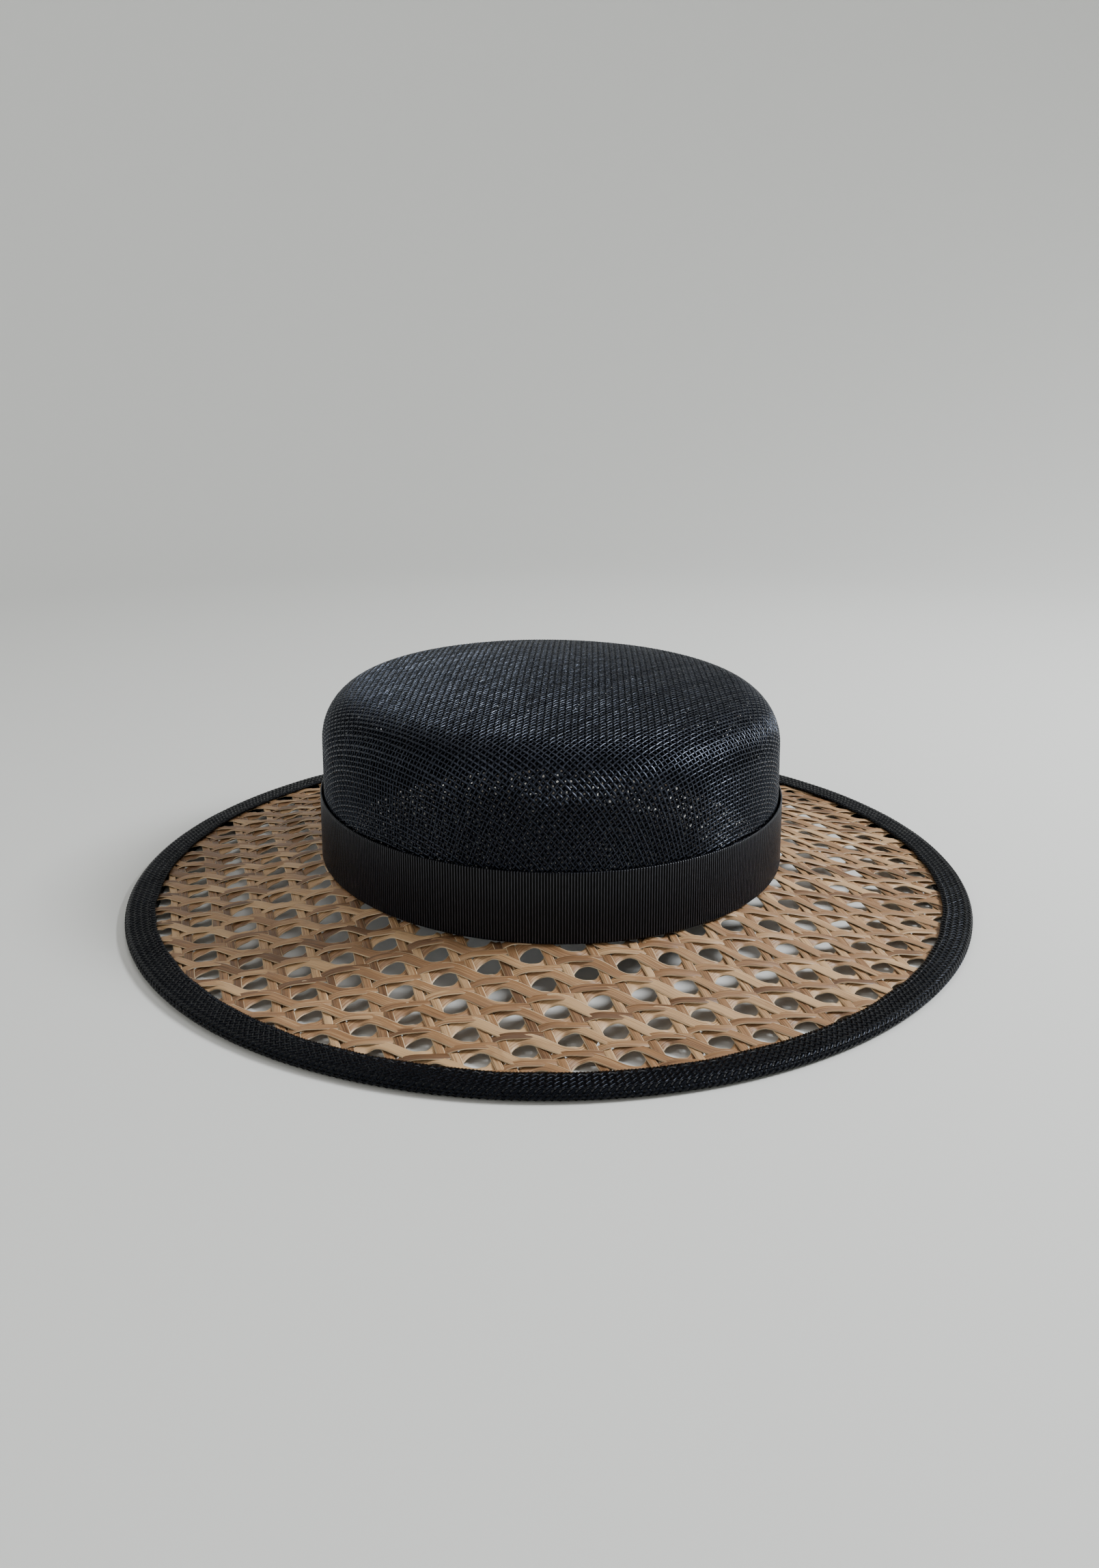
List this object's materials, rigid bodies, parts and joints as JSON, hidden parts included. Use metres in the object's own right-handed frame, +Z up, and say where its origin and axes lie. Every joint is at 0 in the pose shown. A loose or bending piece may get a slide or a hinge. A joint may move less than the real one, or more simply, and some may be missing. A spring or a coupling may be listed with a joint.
{
  "type": "sun hat",
  "caption": "Low-crowned boater sun hat: black woven crown with a ribbed ribbon, drooping brim of open natural straw weave, black bound edge, hollow for the head.",
  "frame": {"origin": "on the floor below the middle of the hat, at the underside of the brim's bound edge", "axes": "+Z up out of the crown, -Y the hat's front, +X the wearer's left"},
  "size_m": [0.325, 0.322, 0.0843],
  "materials": {
    "crown_cloth": "black open plain weave of stiff fibre strands, faint blue-grey sheen",
    "ribbed_ribbon": "black ribbed ribbon, ribs across its width, low sheen",
    "natural_straw": "natural tan flat straw strips in an open twined weave, pale cut edges, satin",
    "binding_cloth": "black fine woven bias strip folded over the edge, sewn with small stitches",
    "head_ribbon": "plain black ribbon inside the opening"
  },
  "bodies": {
    "root": {"crown": "crown_cloth", "crown_band": "ribbed_ribbon", "brim": "natural_straw", "brim_binding": "binding_cloth", "head_ribbon": "head_ribbon"}
  },
  "joints": []
}
